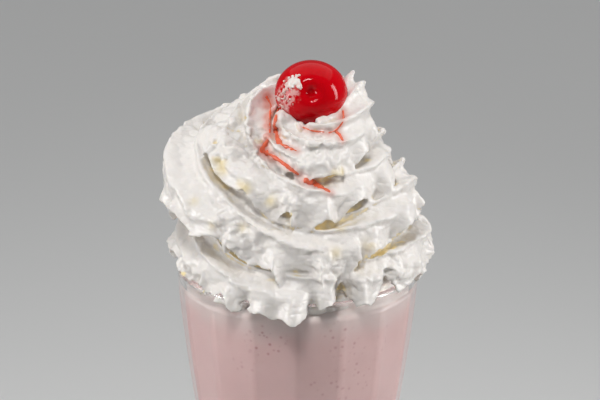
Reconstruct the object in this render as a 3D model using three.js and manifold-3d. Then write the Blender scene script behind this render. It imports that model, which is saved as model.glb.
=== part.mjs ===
// Cherry milkshake: a footed, fluted soda glass filled with a pale pink shake, a tall mound
// of whipped cream piped in a rising coil over the rim, and one glossy cherry on top.
// Millimetres, +Z up. The origin is the centre of the foot's underside, and the side of the
// mound that faces a guest is towards -Y.
import * as THREE from "three";
import { mergeVertices } from "three/addons/utils/BufferGeometryUtils.js";
import Module from "manifold-3d";

const wasm = await Module();
wasm.setup();

// Driving sizes
const GAP = 0.3; // clearance between two pieces that touch
const RIM_Z = 185; // height of the glass
const RIM_RADIUS = 40;
const WALL = 2.4;
const FOOT_RADIUS = 36;
const STEM_RADIUS = 11;
const BOWL_FLOOR_Z = 34; // inside, on the axis
const SHAKE_LEVEL_Z = RIM_Z - 5;
const FLUTES = 16;
const FLUTE_DEPTH = 0.7;

// A uniform Catmull-Rom curve through rows of numbers, one row for each whole step of t.
function splineRow(rows, t) {
  const last = rows.length - 1;
  const clamped = Math.min(Math.max(t, 0), last);
  const i = Math.min(Math.floor(clamped), last - 1);
  const f = clamped - i;
  const row = (k) => rows[Math.min(Math.max(k, 0), last)];
  const [a, b, c, d] = [row(i - 1), row(i), row(i + 1), row(i + 2)];
  return b.map(
    (_, n) =>
      0.5 *
      (2 * b[n] +
        (c[n] - a[n]) * f +
        (2 * a[n] - 5 * b[n] + 4 * c[n] - d[n]) * f * f +
        (3 * b[n] - a[n] - 3 * c[n] + d[n]) * f * f * f),
  );
}

const smooth = (edge0, edge1, x) => THREE.MathUtils.smoothstep(x, edge0, edge1);

// Joining and cutting
function toSolid(geometry) {
  const bare = geometry.clone();
  bare.deleteAttribute("normal");
  bare.deleteAttribute("uv");
  const merged = mergeVertices(bare, 1e-4);
  return new wasm.Manifold(
    new wasm.Mesh({
      numProp: 3,
      vertProperties: Float32Array.from(merged.attributes.position.array),
      triVerts: Uint32Array.from(merged.index.array),
    }),
  );
}

function toGeometry(solid) {
  const mesh = solid.getMesh();
  const geometry = new THREE.BufferGeometry();
  geometry.setAttribute("position", new THREE.BufferAttribute(mesh.vertProperties, 3));
  geometry.setIndex(new THREE.BufferAttribute(mesh.triVerts, 1));
  geometry.computeVertexNormals();
  return geometry;
}

// The largest body of a solid: its sealed hollows are filled and its loose scraps dropped.
function mainBody(solid) {
  return solid.decompose().reduce((a, b) => (b.volume() > a.volume() ? b : a));
}

// A lathe about Z from a closed outline of [radius, height] points that starts and ends on the axis.
function latheZ(outline, segments) {
  const points = outline.map(([r, z]) => new THREE.Vector2(r, z));
  return new THREE.LatheGeometry(points, segments).rotateX(Math.PI / 2);
}

// Glass: one thick pressed piece with a round foot, a short stem and a tall tapering bowl.
const BOWL_OUTSIDE = [
  // [height, radius], evenly read by a curve from the stem to the rim
  [22, STEM_RADIUS + 0.6],
  [36, 18.5],
  [60, 23.5],
  [90, 28.3],
  [120, 32.6],
  [150, 36.9],
  [172, 39.4],
  [RIM_Z - 1, RIM_RADIUS],
];
const GLASS_SEGMENTS = FLUTES * 3;

function bowlPoint(t) {
  const [z, r] = splineRow(BOWL_OUTSIDE, t);
  return [r, z];
}

// Radius of the bowl's outside at a height, found by halving the interval.
function bowlRadius(z) {
  let [low, high] = [0, BOWL_OUTSIDE.length - 1];
  for (let i = 0; i < 24; i++) {
    const middle = (low + high) / 2;
    if (bowlPoint(middle)[1] < z) low = middle;
    else high = middle;
  }
  return bowlPoint(low)[0];
}

function glassGeometry() {
  const outline = [
    [0, 0],
    [FOOT_RADIUS - 1.5, 0],
    [FOOT_RADIUS, 1.6],
    [FOOT_RADIUS - 0.8, 3.4],
    [24, 5.6],
    [15, 9],
    [STEM_RADIUS, 14],
  ];
  const bowlSteps = (BOWL_OUTSIDE.length - 1) * 2;
  for (let i = 0; i <= bowlSteps; i++) outline.push(bowlPoint(i / 2));
  outline.push([RIM_RADIUS - WALL / 2, RIM_Z]);
  for (const z of [RIM_Z - 1, 165, 140, 110, 80, 58, 45]) outline.push([bowlRadius(z) - WALL, z]);
  outline.push([11, BOWL_FLOOR_Z + 2.5], [0, BOWL_FLOOR_Z]);
  const geometry = latheZ(outline, GLASS_SEGMENTS);
  carveFlutes(geometry.attributes.position);
  return geometry;
}

// Shallow vertical flutes on the outside of the bowl, fading out under the rim and at the stem.
function carveFlutes(position) {
  for (let i = 0; i < position.count; i++) {
    const [x, y, z] = [position.getX(i), position.getY(i), position.getZ(i)];
    const radius = Math.hypot(x, y);
    if (z < 20 || z > RIM_Z - 2 || radius < bowlRadius(z) - WALL / 2) continue;
    const share = smooth(22, 50, z) * (1 - smooth(RIM_Z - 14, RIM_Z - 3, z));
    const across = Math.abs(Math.sin((FLUTES / 2) * Math.atan2(y, x)));
    const scale = 1 - (FLUTE_DEPTH * share * across ** 0.6) / radius;
    position.setXYZ(i, x * scale, y * scale, z);
  }
}

// Shake: fills the bowl to just under the rim.
function shakeGeometry() {
  const inside = (z) => bowlRadius(z) - WALL - GAP;
  const outline = [
    [0, BOWL_FLOOR_Z + GAP],
    [10.6, BOWL_FLOOR_Z + 2.5 + GAP],
  ];
  for (const z of [45, 58, 80, 110, 140, 165, SHAKE_LEVEL_Z]) outline.push([inside(z), z]);
  outline.push([0, SHAKE_LEVEL_Z]);
  return latheZ(outline, GLASS_SEGMENTS);
}

// Whipped cream: one rope from a star nozzle, laid in a coil of almost four turns that rises
// clockwise, seen from above. Each row below is a quarter turn, from the start at the back:
// [radius of the turn, height of the rope's centre over the rim, radius of the rope].
const COIL = [
  [30, 5, 9],
  [31.5, 7, 9.5],
  [30.5, 5, 10],
  [29.5, 8, 10],
  [29, 15, 11.5],
  [25, 24, 10.5],
  [27, 19, 11],
  [30, 31, 15],
  [22, 35, 15],
  [15, 43, 10],
  [19.5, 33, 11],
  [17, 43, 12.5],
  [11, 48, 11.5],
  [9, 53, 9],
  [11, 45, 10],
  [6, 46, 9],
];
const COIL_LEAN = 5; // the top of the coil stands this far to +X of its foot
const COIL_HEIGHT = 60;
const RIDGES = 6;
const RIDGE_ROOT = 0.8; // share of the rope's radius in the grooves
const RIDGE_TIP = 1.08;
const RIDGE_SHARPNESS = 2;
const RIDGE_TWIST = 0.8; // turns of the ridges about the rope for each turn of the coil
const RUFFLE_ACROSS = 2.2; // how far a crest waves across the rope
const RUFFLE_ALONG = 1.2;
const FRILL_REACH = 2.4; // extra reach of the crests that point out and down
const FRILL_ANGLE = -35;
const FRILL_SPAN = 42;

// Single lobes of cream: [quarter turn, angle in the rope's section, reach, span in turns, span in degrees].
const LOBES = [
  [2.06, -70, 8, 0.16, 38],
  [13.2, 62, 5, 0.3, 30],
  [5.0, 45, 3, 0.4, 30],
  [1.1, -20, 2.5, 0.35, 40],
];

const RING_SPACING = 4.1; // along the outer side of the rope
const POINTS_AROUND = RIDGES * 4;

function ropePoint(t, u) {
  const [turn, rise, rope] = splineRow(COIL, t);
  const ridge = Math.floor(u * RIDGES + 0.5) % RIDGES;
  const crest = (0.5 + 0.5 * Math.cos(2 * Math.PI * RIDGES * u)) ** RIDGE_SHARPNESS;
  const quarters = t - 1;
  const wave =
    2 * Math.PI * (4.5 * t - 0.125 * t * t) + 1.2 * Math.sin(1.7 * t) + 2.4 * ridge;
  const strength = 0.65 + 0.35 * Math.sin(2.3 * t + 1.9 * ridge);
  let angle = 2 * Math.PI * u + (Math.PI / 2) * RIDGE_TWIST * quarters;
  const degrees = THREE.MathUtils.euclideanModulo(THREE.MathUtils.radToDeg(angle) + 180, 360) - 180;
  const frill = Math.exp(-(((degrees - FRILL_ANGLE) / FRILL_SPAN) ** 2));
  let radius = rope * (RIDGE_ROOT + (RIDGE_TIP - RIDGE_ROOT) * crest);
  radius += FRILL_REACH * frill * crest * (0.75 + 0.45 * Math.sin(wave));
  for (const [at, toward, reach, spanT, spanAngle] of LOBES) {
    const near = Math.exp(-(((t - at) / spanT) ** 2) - ((degrees - toward) / spanAngle) ** 2);
    radius += reach * near * (0.35 + 0.65 * crest);
  }
  const flare = crest * strength * (0.45 + 0.55 * frill);
  angle += (RUFFLE_ACROSS * flare * Math.sin(wave)) / radius;
  const out = Math.max(turn + radius * Math.cos(angle), 0.4);
  const up = rise + radius * Math.sin(angle);
  const along = (Math.PI / 2) * quarters + (RUFFLE_ALONG * flare * Math.cos(wave)) / Math.max(turn, 12);
  return new THREE.Vector3(
    out * Math.cos(along) + (COIL_LEAN * up) / COIL_HEIGHT,
    -out * Math.sin(along),
    RIM_Z + up,
  );
}

// One stretch of the rope between two quarter turns, closed by a fan at each end.
function ropeStretch(from, to) {
  const [turn, , rope] = splineRow(COIL, (from + to) / 2);
  const rings = Math.round(((to - from) * (Math.PI / 2) * (turn + rope)) / RING_SPACING);
  const positions = [];
  const index = [];
  for (let i = 0; i <= rings; i++) {
    const t = from + ((to - from) * i) / rings;
    for (let j = 0; j < POINTS_AROUND; j++) positions.push(...ropePoint(t, j / POINTS_AROUND));
  }
  const at = (i, j) => i * POINTS_AROUND + (j % POINTS_AROUND);
  for (let i = 0; i < rings; i++)
    for (let j = 0; j < POINTS_AROUND; j++) {
      index.push(at(i, j), at(i + 1, j + 1), at(i + 1, j));
      index.push(at(i, j), at(i, j + 1), at(i + 1, j + 1));
    }
  for (const [i, t, side] of [
    [0, from, 1],
    [rings, to, -1],
  ]) {
    const centre = positions.length / 3;
    positions.push(...ropeCentre(t));
    for (let j = 0; j < POINTS_AROUND; j++) {
      const pair = side > 0 ? [at(i, j + 1), at(i, j)] : [at(i, j), at(i, j + 1)];
      index.push(centre, ...pair);
    }
  }
  const geometry = new THREE.BufferGeometry();
  geometry.setAttribute("position", new THREE.Float32BufferAttribute(positions, 3));
  geometry.setIndex(index);
  return geometry;
}

function ropeCentre(t) {
  const [turn, rise] = splineRow(COIL, t);
  const along = (Math.PI / 2) * (t - 1);
  return new THREE.Vector3(
    turn * Math.cos(along) + (COIL_LEAN * rise) / COIL_HEIGHT,
    -turn * Math.sin(along),
    RIM_Z + rise,
  );
}

// Cherry: a little wider than tall, with its stem pit turned to the front.
const CHERRY_RADIUS = 11.7;
const CHERRY_FLATNESS = 0.9;
const CHERRY_AT = new THREE.Vector3(4.3, -4, RIM_Z + 59);
const PIT_DEPTH = 2.6;
const PIT_SPAN = 0.3; // radians
const PIT_TILT = THREE.MathUtils.degToRad(70); // from straight up towards the front

function cherryGeometry(grow = 0) {
  const geometry = new THREE.SphereGeometry(1, 26, 18).rotateX(Math.PI / 2);
  const position = geometry.attributes.position;
  for (let i = 0; i < position.count; i++) {
    const [x, y, z] = [position.getX(i), position.getY(i), position.getZ(i)];
    const fromPit = Math.acos(THREE.MathUtils.clamp(z, -1, 1));
    const pit = PIT_DEPTH * Math.exp(-((fromPit / PIT_SPAN) ** 2));
    const r = CHERRY_RADIUS + grow - pit;
    position.setXYZ(i, r * x, r * y, r * z);
  }
  return geometry
    .rotateX(PIT_TILT)
    .scale(1, 1, CHERRY_FLATNESS)
    .translate(CHERRY_AT.x, CHERRY_AT.y, CHERRY_AT.z);
}

// The solid middle of the mound, and the plug of cream inside the glass under it.
function creamCore() {
  const plug = RIM_RADIUS - WALL - GAP;
  return latheZ(
    [
      [0, SHAKE_LEVEL_Z + GAP],
      [plug - 0.3, SHAKE_LEVEL_Z + GAP],
      [plug, RIM_Z],
      [32, RIM_Z + 8],
      [26, RIM_Z + 22],
      [15, RIM_Z + 38],
      [9, RIM_Z + 48],
      [0, RIM_Z + 51],
    ],
    32,
  );
}

// What the rim and the shake take out of the cream.
function rimCollar() {
  const below = RIM_Z - 40;
  const outline = [
    [0, below],
    [bowlRadius(below) + GAP, below],
    [bowlRadius(RIM_Z - 20) + GAP, RIM_Z - 20],
    [RIM_RADIUS + GAP, RIM_Z - 1],
    [RIM_RADIUS - WALL / 2, RIM_Z + GAP],
    [RIM_RADIUS - WALL - GAP, RIM_Z - 1],
    [RIM_RADIUS - WALL - GAP - 0.2, SHAKE_LEVEL_Z + GAP],
    [0, SHAKE_LEVEL_Z + GAP],
  ];
  return latheZ(outline, GLASS_SEGMENTS);
}

function creamGeometry() {
  let cream = toSolid(creamCore());
  const lastQuarter = COIL.length - 1;
  for (let from = 0; from < lastQuarter; from += 2)
    cream = cream.add(toSolid(ropeStretch(from, Math.min(from + 2, lastQuarter))));
  cream = cream.subtract(toSolid(rimCollar())).subtract(toSolid(cherryGeometry(GAP)));
  return toGeometry(mainBody(cream));
}

// Assembly
function piece(name, geometry, color, roughness, extra = {}) {
  const material = new THREE.MeshStandardMaterial({ color, roughness, metalness: 0, ...extra });
  const mesh = new THREE.Mesh(geometry, material);
  mesh.name = name;
  return mesh;
}

const milkshake = new THREE.Group();
milkshake.add(
  piece("glass", glassGeometry(), 0xe8eef0, 0.05, { transparent: true, opacity: 0.3 }),
  piece("milkshake", shakeGeometry(), 0xcaa3a0, 0.45),
  piece("whipped_cream", creamGeometry(), 0xf3efe8, 0.5),
  piece("cherry", cherryGeometry(), 0xc0101c, 0.15),
);

export default milkshake;
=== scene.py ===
"""A cherry milkshake in a footed soda glass: clear pressed glass, pale pink shake, a piped coil of
whipped cream and one syrupy cherry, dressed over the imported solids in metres."""

import math

import bmesh
import bpy
import numpy as np
from mathutils import Matrix, Quaternion, Vector, kdtree, noise
from mathutils.bvhtree import BVHTree


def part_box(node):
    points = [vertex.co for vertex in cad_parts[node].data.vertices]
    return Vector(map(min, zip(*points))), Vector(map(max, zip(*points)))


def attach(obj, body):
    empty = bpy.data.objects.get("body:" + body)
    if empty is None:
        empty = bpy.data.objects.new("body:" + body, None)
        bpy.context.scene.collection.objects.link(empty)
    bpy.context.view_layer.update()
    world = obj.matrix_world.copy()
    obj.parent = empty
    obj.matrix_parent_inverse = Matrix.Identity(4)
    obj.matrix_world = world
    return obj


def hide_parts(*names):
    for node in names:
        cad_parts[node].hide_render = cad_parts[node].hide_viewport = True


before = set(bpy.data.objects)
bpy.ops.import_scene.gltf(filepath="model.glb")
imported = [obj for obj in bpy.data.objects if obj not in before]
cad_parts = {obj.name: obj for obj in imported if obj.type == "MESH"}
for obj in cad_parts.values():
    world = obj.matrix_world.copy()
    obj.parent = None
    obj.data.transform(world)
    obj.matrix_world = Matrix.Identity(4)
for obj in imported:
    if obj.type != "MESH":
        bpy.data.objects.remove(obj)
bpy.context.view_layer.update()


# Glass
# The real one is one thick piece of pressed soda glass: a round foot, a short stem and a tall
# tapering bowl with sixteen flat flutes. It is turned from its outline by Geometry Nodes, which
# press the flutes into the points that the outline marks.

MM = 0.001
GLASS_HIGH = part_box("glass")[1]
RIM_Z = GLASS_HIGH.z
RIM_RADIUS = GLASS_HIGH.x
WALL = 2.4 * MM
FOOT_RADIUS = 36 * MM
STEM_RADIUS = 11 * MM
BOWL_FLOOR_Z = 34 * MM
FLUTES = 16
FLUTE_DEPTH = 0.9 * MM
FLUTE_FLATNESS = 0.6
INNER_FLUTES = 0.75
GLASS_SEGMENTS = FLUTES * 14
BOWL_OUTSIDE = [
    # height and radius, evenly read by a curve from the stem to the rim
    [22 * MM, STEM_RADIUS + 0.6 * MM],
    [36 * MM, 18.5 * MM],
    [60 * MM, 23.5 * MM],
    [90 * MM, 28.3 * MM],
    [120 * MM, 32.6 * MM],
    [150 * MM, 36.9 * MM],
    [172 * MM, 39.4 * MM],
    [RIM_Z - 1 * MM, RIM_RADIUS],
]
GLASS_TINT = (0.975, 0.985, 0.98, 1)
GLASS_SHADOW = (0.90, 0.92, 0.91, 1)
GLASS_SMEAR_SIZE = 24 * MM


class Wire:
    """One output of a node. Arithmetic on wires adds Math nodes to their graph."""

    def __init__(self, graph, node, socket):
        self.graph = graph
        self.node = node
        self.socket = socket

    def out(self, name):
        """Another output of the same node."""
        return Wire(self.graph, self.node, find_socket(self.node.outputs, name))

    def __add__(self, other):
        return self.graph.math("ADD", self, other)

    def __radd__(self, other):
        return self.graph.math("ADD", other, self)

    def __sub__(self, other):
        return self.graph.math("SUBTRACT", self, other)

    def __rsub__(self, other):
        return self.graph.math("SUBTRACT", other, self)

    def __mul__(self, other):
        return self.graph.math("MULTIPLY", self, other)

    def __rmul__(self, other):
        return self.graph.math("MULTIPLY", other, self)

    def __truediv__(self, other):
        return self.graph.math("DIVIDE", self, other)

    def __rtruediv__(self, other):
        return self.graph.math("DIVIDE", other, self)

    def __pow__(self, other):
        return self.graph.math("POWER", self, other)

    def __neg__(self):
        return self.graph.math("MULTIPLY", self, -1)


def find_socket(sockets, key):
    """The socket in use at a place, or of a name."""
    if isinstance(key, int):
        return sockets[key]
    return next(s for s in sockets if s.name == key and s.enabled)


class Graph:
    """A node tree that is filled by node() and by arithmetic on what it returns."""

    def __init__(self, tree):
        self.tree = tree

    def node(self, kind, settings=None, sockets=None):
        """Adds a node: its settings come first, then the values or wires of its sockets."""
        node = self.tree.nodes.new(kind)
        for name, value in (settings or {}).items():
            if name == "stops":
                set_stops(node.color_ramp, value)
            else:
                setattr(node, name, value)
        for key, value in (sockets or {}).items():
            target = find_socket(node.inputs, key)
            if isinstance(value, Wire):
                self.tree.links.new(value.socket, target)
            else:
                target.default_value = value
        first = next((s for s in node.outputs if s.enabled), None)
        return Wire(self, node, first)

    def math(self, operation, *values):
        return self.node("ShaderNodeMath", {"operation": operation}, dict(enumerate(values)))

    def smooth(self, value, low, high):
        """0 below low, 1 above high, and an even curve between them."""
        sockets = {"Value": value, "From Min": low, "From Max": high}
        return self.node("ShaderNodeMapRange", {"interpolation_type": "SMOOTHSTEP"}, sockets)


def set_stops(ramp, stops):
    """Gives a colour ramp its stops, as pairs of place and colour."""
    while len(ramp.elements) < len(stops):
        ramp.elements.new(1)
    for element, (place, color) in zip(ramp.elements, stops):
        element.position = place
        element.color = color


def new_shape_graph(name, inputs):
    """A Geometry Nodes graph with named inputs. Returns it, its modifier keys and its input wires."""
    tree = bpy.data.node_groups.new(name, "GeometryNodeTree")
    tree.is_modifier = True
    tree.interface.new_socket("Geometry", in_out="OUTPUT", socket_type="NodeSocketGeometry")
    keys = {}
    for label, kind in inputs.items():
        socket = tree.interface.new_socket(label, in_out="INPUT", socket_type="NodeSocket" + kind)
        keys[label] = socket.identifier
    graph = Graph(tree)
    source = graph.node("NodeGroupInput")
    return graph, keys, {label: source.out(label) for label in inputs}


def end_shape_graph(graph, geometry, material):
    """Closes a Geometry Nodes graph with realized instances and their material."""
    real = graph.node("GeometryNodeRealizeInstances", None, {"Geometry": geometry})
    painted = graph.node("GeometryNodeSetMaterial", None, {"Geometry": real, "Material": material})
    graph.node("NodeGroupOutput", None, {"Geometry": painted})


def grow(source, graph, keys, values):
    """Runs a Geometry Nodes graph on an object and returns the plain mesh that comes out."""
    modifier = source.modifiers.new("grow", "NODES")
    modifier.node_group = graph.tree
    for label, value in values.items():
        modifier[keys[label]] = value
    mesh = baked_mesh(source)
    source.modifiers.remove(modifier)
    paint(mesh, values["Material"])
    return mesh


def paint(mesh, material):
    """Gives a mesh one material all over."""
    mesh.materials.clear()
    mesh.materials.append(material)
    mesh.polygons.foreach_set("material_index", np.zeros(len(mesh.polygons), np.int32))


def baked_mesh(source):
    """The mesh of an object with its modifiers applied."""
    ready = source.evaluated_get(bpy.context.evaluated_depsgraph_get())
    return bpy.data.meshes.new_from_object(ready, depsgraph=bpy.context.evaluated_depsgraph_get())


def place(name, mesh, smooth=True):
    """Puts a finished mesh in the scene as an object at the origin."""
    mesh.name = name
    if smooth:
        mesh.shade_smooth()
    piece = bpy.data.objects.new(name, mesh)
    bpy.context.scene.collection.objects.link(piece)
    return piece


def path_object(name, points, widths):
    """A curve through points, each with a width that a graph reads as its radius."""
    curve = bpy.data.curves.new(name, "CURVE")
    curve.dimensions = "3D"
    spline = curve.splines.new("POLY")
    spline.points.add(len(points) - 1)
    spline.points.foreach_set("co", np.column_stack([points, np.ones(len(points))]).ravel())
    spline.points.foreach_set("radius", np.asarray(widths, float))
    piece = bpy.data.objects.new(name, curve)
    bpy.context.scene.collection.objects.link(piece)
    return piece


def discard(piece):
    """Removes a helper object."""
    bpy.data.objects.remove(piece)


def spline_rows(rows, t):
    """A uniform Catmull-Rom curve through rows of numbers, one row for each whole step of t."""
    rows = np.asarray(rows, float)
    last = len(rows) - 1
    t = np.clip(np.asarray(t, float), 0, last)
    i = np.minimum(t.astype(int), last - 1)
    f = (t - i)[..., None]
    a, b, c, d = (rows[np.clip(i + k, 0, last)] for k in (-1, 0, 1, 2))
    bend = (2 * a - 5 * b + 4 * c - d) * f**2 + (3 * b - a - 3 * c + d) * f**3
    return 0.5 * (2 * b + (c - a) * f + bend)


BOWL_CURVE = spline_rows(BOWL_OUTSIDE, np.linspace(0, len(BOWL_OUTSIDE) - 1, 400))


def bowl_radius(z):
    """Radius of the bowl's outside at a height."""
    return np.interp(z, BOWL_CURVE[:, 0], BOWL_CURVE[:, 1])


def round_corner(before, corner, after, radius, steps=5):
    """Points of a rounded corner of an outline, from the side of before to the side of after."""
    before, corner, after = (np.asarray(p, float) for p in (before, corner, after))
    start = corner + (before - corner) * radius / np.linalg.norm(before - corner)
    end = corner + (after - corner) * radius / np.linalg.norm(after - corner)
    share = np.linspace(0, 1, steps)[:, None]
    return (1 - share) ** 2 * start + 2 * share * (1 - share) * corner + share**2 * end


def glass_outline():
    """The outline as radius and height from the foot's middle round to the bowl's floor, and
    the share of the flutes' depth at each point."""
    foot = spline_rows(
        [
            [FOOT_RADIUS - 0.4 * MM, 3.2 * MM],
            [31 * MM, 4.2 * MM],
            [22 * MM, 6.2 * MM],
            [14.5 * MM, 9.4 * MM],
            [11.4 * MM, 13 * MM],
            [STEM_RADIUS, 17 * MM],
            [STEM_RADIUS + 0.6 * MM, 22 * MM],
        ],
        np.linspace(0, 6, 37),
    )
    edge = round_corner((20 * MM, 0), (FOOT_RADIUS, 0), (FOOT_RADIUS, 3 * MM), 1.6 * MM)
    outside = BOWL_CURVE[4::4, ::-1]
    lip_angle = np.linspace(0, math.pi, 9)[1:-1]
    lip_centre = RIM_RADIUS - WALL / 2
    lip = np.column_stack(
        [lip_centre + WALL / 2 * np.cos(lip_angle), RIM_Z - 1 * MM + 1 * MM * np.sin(lip_angle)]
    )
    inner_z = np.linspace(RIM_Z - 1 * MM, BOWL_FLOOR_Z + 12 * MM, 70)
    inside = np.column_stack([bowl_radius(inner_z) - WALL, inner_z])
    floor_angle = np.linspace(0, math.pi / 2, 10)[1:]
    floor_radius = inside[-1, 0]
    floor = np.column_stack(
        [floor_radius * np.cos(floor_angle), inside[-1, 1] - 12 * MM * np.sin(floor_angle)]
    )
    outline = np.vstack([[[0, 0]], edge, foot, outside, lip, inside, floor])
    outline[-1, 0] = 0
    share = flute_share(outline[:, 1])
    share[: 1 + len(edge) + len(foot)] = 0
    first = len(outline) - len(floor) - len(inside)
    share[first:] *= INNER_FLUTES
    return outline, share


def flute_share(z):
    """The share of the flutes' depth at a height: none at the stem and at the rim."""
    return np.clip((z - 30 * MM) / (20 * MM), 0, 1) * np.clip((RIM_Z - 2.5 * MM - z) / (9 * MM), 0, 1)


def turning_graph():
    """Turns an outline, whose points lie in the XZ plane, about Z and presses flutes into it."""
    inputs = {
        "Geometry": "Geometry",
        "Segments": "Int",
        "Flutes": "Int",
        "Flute depth": "Float",
        "Flute flatness": "Float",
        "Material": "Material",
    }
    graph, keys, given = new_shape_graph("turned_glass", inputs)
    count = graph.node(
        "GeometryNodeAttributeDomainSize", {"component": "CURVE"}, {"Geometry": given["Geometry"]}
    )
    columns = given["Segments"] + 1
    grid = graph.node("GeometryNodeMeshGrid", None, {"Vertices X": count, "Vertices Y": columns})
    index = graph.node("GeometryNodeInputIndex")
    row = graph.math("FLOOR", (index + 0.5) / columns)
    column = index - row * columns
    where = graph.node("GeometryNodeInputPosition")
    width = graph.node("GeometryNodeInputRadius")
    outline = {"Geometry": given["Geometry"], "Index": row}
    point = graph.node(
        "GeometryNodeSampleIndex", {"data_type": "FLOAT_VECTOR"}, {**outline, "Value": where}
    )
    share = graph.node("GeometryNodeSampleIndex", {"data_type": "FLOAT"}, {**outline, "Value": width})
    parts = graph.node("ShaderNodeSeparateXYZ", None, {0: point})
    turn = column * (2 * math.pi) / given["Segments"]
    across = graph.math("ABSOLUTE", graph.math("SINE", turn * given["Flutes"] * 0.5))
    radius = parts - share * given["Flute depth"] * across ** given["Flute flatness"]
    x = radius * graph.math("COSINE", turn)
    y = radius * graph.math("SINE", turn)
    spot = graph.node("ShaderNodeCombineXYZ", None, {"X": x, "Y": y, "Z": parts.out("Z")})
    turned = graph.node(
        "GeometryNodeSetPosition", None, {"Geometry": grid.out("Mesh"), "Position": spot}
    )
    welded = graph.node("GeometryNodeMergeByDistance", None, {"Geometry": turned, "Distance": 2e-6})
    outward = graph.node("GeometryNodeFlipFaces", None, {"Mesh": welded})
    end_shape_graph(graph, outward, given["Material"])
    return graph, keys


TURNING, TURNING_KEYS = turning_graph()


def turned(name, outline, share, material, flutes=FLUTES, depth=FLUTE_DEPTH):
    """A closed mesh turned from an outline of radius and height."""
    points = np.column_stack([outline[:, 0], np.zeros(len(outline)), outline[:, 1]])
    path = path_object(name + "_outline", points, share)
    values = {
        "Segments": GLASS_SEGMENTS,
        "Flutes": flutes,
        "Flute depth": depth,
        "Flute flatness": FLUTE_FLATNESS,
        "Material": material,
    }
    mesh = grow(path, TURNING, TURNING_KEYS, values)
    discard(path)
    return mesh


def new_material(name):
    """An empty material. Returns it and the graph of its nodes."""
    material = bpy.data.materials.new(name)
    material.use_nodes = True
    material.node_tree.nodes.clear()
    return material, Graph(material.node_tree)


def close_material(graph, surface):
    graph.node("ShaderNodeOutputMaterial", None, {"Surface": surface})


def object_place(graph):
    return graph.node("ShaderNodeTexCoord").out("Object")


def distance_from(graph, spot, place_at):
    """How far a spot is from a fixed place."""
    sockets = {0: spot, 1: place_at}
    return graph.node("ShaderNodeVectorMath", {"operation": "DISTANCE"}, sockets).out("Value")


def clear_glass():
    """Clear glass with faint smears of handling in its gloss."""
    material, graph = new_material("clear_glass")
    smears = graph.node(
        "ShaderNodeTexNoise",
        None,
        {"Vector": object_place(graph), "Scale": 1 / GLASS_SMEAR_SIZE, "Detail": 4.0},
    )
    shader = graph.node(
        "ShaderNodeBsdfPrincipled",
        None,
        {
            "Base Color": GLASS_TINT,
            "Roughness": 0.01 + 0.05 * graph.smooth(smears, 0.45, 0.75),
            "IOR": 1.5,
            "Transmission Weight": 1.0,
        },
    )
    # light falls through the glass onto the shake and the table
    clear = graph.node("ShaderNodeBsdfTransparent", None, {"Color": GLASS_SHADOW})
    shadow = graph.node("ShaderNodeLightPath").out("Is Shadow Ray")
    shader = graph.node("ShaderNodeMixShader", None, {0: shadow, 1: shader, 2: clear})
    close_material(graph, shader)
    return material


CLEAR_GLASS = clear_glass()
outline, share = glass_outline()
glass = place("pressed_glass", turned("glass", outline, share, CLEAR_GLASS))
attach(glass, "root")
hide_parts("glass")


# Milkshake
# The drink is milk, ice cream and cherry syrup, whipped smooth and opaque, with froth at its
# top. It fills the bowl, and its piece reaches just into the glass's wall so that it wets it.

SHAKE_TOP_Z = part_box("milkshake")[1].z
SHAKE_WETTING = 0.15 * MM
SHAKE_PINK = (0.58, 0.40, 0.39, 1)
SHAKE_ROSE = (0.55, 0.37, 0.36, 1)
SHAKE_FROTH = (0.60, 0.51, 0.49, 1)
SHAKE_SPECK = (0.34, 0.14, 0.14, 1)
SPECK_SPACING = 2.2 * MM
SPECK_CLUSTER = (-10 * MM, -36 * MM, RIM_Z - 14 * MM)
SPECK_CLUSTER_SPAN = 9 * MM
FROTH_DEPTH = 11 * MM


def shake_outline():
    top = SHAKE_TOP_Z
    inner_z = np.linspace(top, BOWL_FLOOR_Z + 12 * MM, 60)
    wall = np.column_stack([bowl_radius(inner_z) - WALL + SHAKE_WETTING, inner_z])
    floor_angle = np.linspace(0, math.pi / 2, 10)[1:]
    reach = 12 * MM + SHAKE_WETTING
    floor = np.column_stack(
        [wall[-1, 0] * np.cos(floor_angle), wall[-1, 1] - reach * np.sin(floor_angle)]
    )
    floor[-1, 0] = 0
    outline = np.vstack([[[0, top]], wall, floor])[::-1]
    share = flute_share(outline[:, 1]) * INNER_FLUTES
    share[outline[:, 0] == 0] = 0
    return outline, share


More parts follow.
